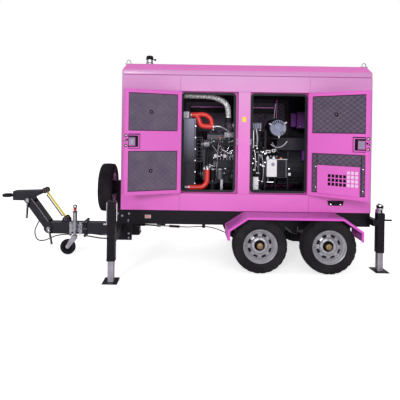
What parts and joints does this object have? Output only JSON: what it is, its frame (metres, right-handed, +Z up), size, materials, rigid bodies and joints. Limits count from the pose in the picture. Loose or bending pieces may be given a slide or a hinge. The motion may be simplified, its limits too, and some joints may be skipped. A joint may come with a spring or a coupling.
{
  "type": "towable diesel generator",
  "caption": "Enclosed diesel generator on a tandem-axle trailer with folding drawbar, jockey wheel, corner jacks, spare wheel and side service doors.",
  "frame": {"origin": "ground level, under the middle of the whole set, from tow eye to rear crank grip", "axes": "+X towards the rear of the trailer, +Y towards the far side, +Z up"},
  "size_m": [5.1584, 2.516, 2.68],
  "materials": {
    "pink_paint": "satin powder coat, light orange peel, faint dust",
    "fender_paint": "satin powder coat with brighter folded edges",
    "black_paint": "semi-gloss black paint over welded steel",
    "galvanised_steel": "bright zinc-plated or bare drawn steel",
    "wheel_silver": "silver wheel enamel",
    "tyre_rubber": "dark grey tyre rubber, dusty sidewall",
    "engine_black": "painted casting, rough",
    "dark_parts": "matt black moulded or coated parts",
    "red_hose": "smooth red silicone hose",
    "yellow_paint": "yellow painted strut"
  },
  "bodies": {
    "chassis": {"chassis_frame": "black_paint", "axle_front": "black_paint", "axle_rear": "black_paint", "fender_near": "fender_paint", "fender_far": "fender_paint", "drawbar_beam": "black_paint", "jockey_tube": "galvanised_steel", "rear_jack_tube_near": "black_paint", "rear_jack_tube_far": "black_paint", "canopy_body": "pink_paint", "canopy_roof": "pink_paint", "engine_block": "engine_black", "alternator": "engine_black", "radiator": "dark_parts", "air_filter": "dark_parts", "silencer": "galvanised_steel", "radiator_hose_upper": "red_hose", "radiator_hose_lower": "red_hose", "control_panel": "dark_parts", "fuel_tank": "black_paint", "tyre_spare": "tyre_rubber", "rim_spare": "wheel_silver"},
    "arm": {"drawbar_arm": "black_paint"},
    "head": {"coupling_head": "black_paint", "tow_eye": "black_paint"},
    "link": {"link_strut": "yellow_paint"},
    "head_lever": {"head_clamp_lever": "galvanised_steel"},
    "beam_lever": {"beam_clamp_lever": "galvanised_steel"},
    "jockey_inner": {"jockey_leg": "galvanised_steel"},
    "jockey_swivel": {"jockey_fork": "galvanised_steel"},
    "jockey_roller": {"jockey_wheel": "tyre_rubber"},
    "jockey_winder": {"jockey_crank": "galvanised_steel"},
    "fan": {"cooling_fan": "dark_parts"},
    "cap": {"rain_cap": "black_paint"},
    "wheel_near_front": {"tyre_near_front": "tyre_rubber", "rim_near_front": "wheel_silver"},
    "wheel_near_rear": {"tyre_near_rear": "tyre_rubber", "rim_near_rear": "wheel_silver"},
    "wheel_far_front": {"tyre_far_front": "tyre_rubber", "rim_far_front": "wheel_silver"},
    "wheel_far_rear": {"tyre_far_rear": "tyre_rubber", "rim_far_rear": "wheel_silver"},
    "outrigger_near": {"outrigger_near": "black_paint"},
    "front_leg_near": {"front_jack_leg_near": "galvanised_steel"},
    "front_crank_near": {"front_jack_crank_near": "galvanised_steel"},
    "rear_leg_near": {"rear_jack_leg_near": "galvanised_steel"},
    "rear_crank_near": {"rear_jack_crank_near": "black_paint"},
    "outrigger_far": {"outrigger_far": "black_paint"},
    "front_leg_far": {"front_jack_leg_far": "galvanised_steel"},
    "front_crank_far": {"front_jack_crank_far": "galvanised_steel"},
    "rear_leg_far": {"rear_jack_leg_far": "galvanised_steel"},
    "rear_crank_far": {"rear_jack_crank_far": "black_paint"},
    "door_near_front": {"door_near_front": "pink_paint"},
    "lock_near_front": {"door_lock_near_front": "dark_parts"},
    "door_near_rear": {"door_near_rear": "pink_paint"},
    "lock_near_rear": {"door_lock_near_rear": "dark_parts"},
    "door_far_front": {"door_far_front": "pink_paint"},
    "lock_far_front": {"door_lock_far_front": "dark_parts"},
    "door_far_rear": {"door_far_rear": "pink_paint"},
    "lock_far_rear": {"door_lock_far_rear": "dark_parts"}
  },
  "joints": [
    {"name": "wheel_spin_near_front", "type": "hinge", "parent": "chassis", "child": "wheel_near_front", "pos_m": [0.904, -0.76, 0.333], "axis": [0, 1, 0], "continuous": true},
    {"name": "wheel_spin_near_rear", "type": "hinge", "parent": "chassis", "child": "wheel_near_rear", "pos_m": [1.738, -0.76, 0.333], "axis": [0, 1, 0], "continuous": true},
    {"name": "wheel_spin_far_front", "type": "hinge", "parent": "chassis", "child": "wheel_far_front", "pos_m": [0.904, 0.76, 0.333], "axis": [0, 1, 0], "continuous": true},
    {"name": "wheel_spin_far_rear", "type": "hinge", "parent": "chassis", "child": "wheel_far_rear", "pos_m": [1.738, 0.76, 0.333], "axis": [0, 1, 0], "continuous": true},
    {"name": "drawbar_fold", "type": "hinge", "parent": "chassis", "child": "arm", "pos_m": [-1.896, 0, 0.34], "axis": [0, 1, 0], "range_deg": [-32, 20]},
    {"name": "coupling_head_level", "type": "hinge", "parent": "arm", "child": "head", "pos_m": [-2.19, 0, 0.73], "axis": [0, 1, 0], "range_deg": [-20, 32]},
    {"name": "link_swing", "type": "hinge", "parent": "chassis", "child": "link", "pos_m": [-1.675, 0, 0.465], "axis": [0, 1, 0], "range_deg": [-32, 20]},
    {"name": "head_clamp_turn", "type": "hinge", "parent": "arm", "child": "head_lever", "pos_m": [-2.19, 0, 0.73], "axis": [0, 1, 0], "range_deg": [-60, 60]},
    {"name": "beam_clamp_turn", "type": "hinge", "parent": "arm", "child": "beam_lever", "pos_m": [-1.896, 0, 0.34], "axis": [0, 1, 0], "range_deg": [-60, 60]},
    {"name": "jockey_crank_turn", "type": "hinge", "parent": "chassis", "child": "jockey_winder", "pos_m": [-1.52, -0.142, 0.6], "axis": [0, 0, 1], "range_deg": [-7200, 2160]},
    {"name": "jockey_leg_slide", "type": "slide", "parent": "chassis", "child": "jockey_inner", "axis": [0, 0, 1], "range_m": [-0.12, 0.036]},
    {"name": "jockey_swivel_turn", "type": "hinge", "parent": "jockey_inner", "child": "jockey_swivel", "pos_m": [-1.52, -0.142, 0.25], "axis": [0, 0, 1], "continuous": true},
    {"name": "jockey_wheel_spin", "type": "hinge", "parent": "jockey_swivel", "child": "jockey_roller", "pos_m": [-1.61, -0.142, 0.105], "axis": [0, 1, 0], "continuous": true},
    {"name": "outrigger_slide_near", "type": "slide", "parent": "chassis", "child": "outrigger_near", "axis": [0, 1, 0], "range_m": [0, 0.35]},
    {"name": "front_jack_crank_near", "type": "hinge", "parent": "outrigger_near", "child": "front_crank_near", "pos_m": [-0.88, -1.15, 0.88], "axis": [1, 0, 0], "range_deg": [-5400, 7200]},
    {"name": "front_jack_leg_near", "type": "slide", "parent": "outrigger_near", "child": "front_leg_near", "axis": [0, 0, 1], "range_m": [-0.15, 0.2]},
    {"name": "rear_jack_crank_near", "type": "hinge", "parent": "chassis", "child": "rear_crank_near", "pos_m": [2.475, -0.64, 0.7], "axis": [1, 0, 0], "range_deg": [-5400, 7200]},
    {"name": "rear_jack_leg_near", "type": "slide", "parent": "chassis", "child": "rear_leg_near", "axis": [0, 0, 1], "range_m": [-0.15, 0.2]},
    {"name": "outrigger_slide_far", "type": "slide", "parent": "chassis", "child": "outrigger_far", "axis": [0, -1, 0], "range_m": [0, 0.35]},
    {"name": "front_jack_crank_far", "type": "hinge", "parent": "outrigger_far", "child": "front_crank_far", "pos_m": [-0.88, 1.15, 0.88], "axis": [1, 0, 0], "range_deg": [-5400, 7200]},
    {"name": "front_jack_leg_far", "type": "slide", "parent": "outrigger_far", "child": "front_leg_far", "axis": [0, 0, 1], "range_m": [-0.15, 0.2]},
    {"name": "rear_jack_crank_far", "type": "hinge", "parent": "chassis", "child": "rear_crank_far", "pos_m": [2.475, 0.64, 0.7], "axis": [1, 0, 0], "range_deg": [-5400, 7200]},
    {"name": "rear_jack_leg_far", "type": "slide", "parent": "chassis", "child": "rear_leg_far", "axis": [0, 0, 1], "range_m": [-0.15, 0.2]},
    {"name": "door_swing_near_front", "type": "hinge", "parent": "chassis", "child": "door_near_front", "pos_m": [-0.085, -0.558, 1.57], "axis": [0, 0, -1], "range_deg": [-158, 10]},
    {"name": "door_lock_near_front", "type": "hinge", "parent": "door_near_front", "child": "lock_near_front", "pos_m": [-0.6765, -0.81046, 1.649], "axis": [0.9272, 0.3746, 0], "range_deg": [0, 30]},
    {"name": "door_swing_near_rear", "type": "hinge", "parent": "chassis", "child": "door_near_rear", "pos_m": [1.556, -0.558, 1.57], "axis": [0, 0, 1], "range_deg": [-141.5, 26.5]},
    {"name": "door_lock_near_rear", "type": "hinge", "parent": "door_near_rear", "child": "lock_near_rear", "pos_m": [2.06161, -0.97615, 1.649], "axis": [0.7826, -0.6225, 0], "range_deg": [0, 30]},
    {"name": "door_swing_far_front", "type": "hinge", "parent": "chassis", "child": "door_far_front", "pos_m": [-0.085, 0.558, 1.57], "axis": [0, 0, 1], "range_deg": [0, 168]},
    {"name": "door_lock_far_front", "type": "hinge", "parent": "door_far_front", "child": "lock_far_front", "pos_m": [0.558, 0.5455, 1.649], "axis": [1, 0, 0], "range_deg": [0, 30]},
    {"name": "door_swing_far_rear", "type": "hinge", "parent": "chassis", "child": "door_far_rear", "pos_m": [1.556, 0.558, 1.57], "axis": [0, 0, -1], "range_deg": [0, 168]},
    {"name": "door_lock_far_rear", "type": "hinge", "parent": "door_far_rear", "child": "lock_far_rear", "pos_m": [0.9, 0.5455, 1.649], "axis": [1, 0, 0], "range_deg": [0, 30]},
    {"name": "fan_spin", "type": "hinge", "parent": "chassis", "child": "fan", "pos_m": [0.122, 0, 1.43], "axis": [1, 0, 0], "continuous": true},
    {"name": "rain_cap_lift", "type": "hinge", "parent": "chassis", "child": "cap", "pos_m": [-0.461, -0.25, 2.66], "axis": [0, 1, 0], "range_deg": [0, 60]}
  ],
  "couplings": [
    {"joint": "coupling_head_level", "follows": "drawbar_fold", "ratio": -1},
    {"joint": "link_swing", "follows": "drawbar_fold", "ratio": 1},
    {"joint": "jockey_crank_turn", "follows": "jockey_leg_slide", "rad_per_m": 1047.2},
    {"joint": "front_jack_crank_near", "follows": "front_jack_leg_near", "rad_per_m": 628.32},
    {"joint": "rear_jack_crank_near", "follows": "rear_jack_leg_near", "rad_per_m": 628.32},
    {"joint": "front_jack_crank_far", "follows": "front_jack_leg_far", "rad_per_m": 628.32},
    {"joint": "rear_jack_crank_far", "follows": "rear_jack_leg_far", "rad_per_m": 628.32}
  ]
}
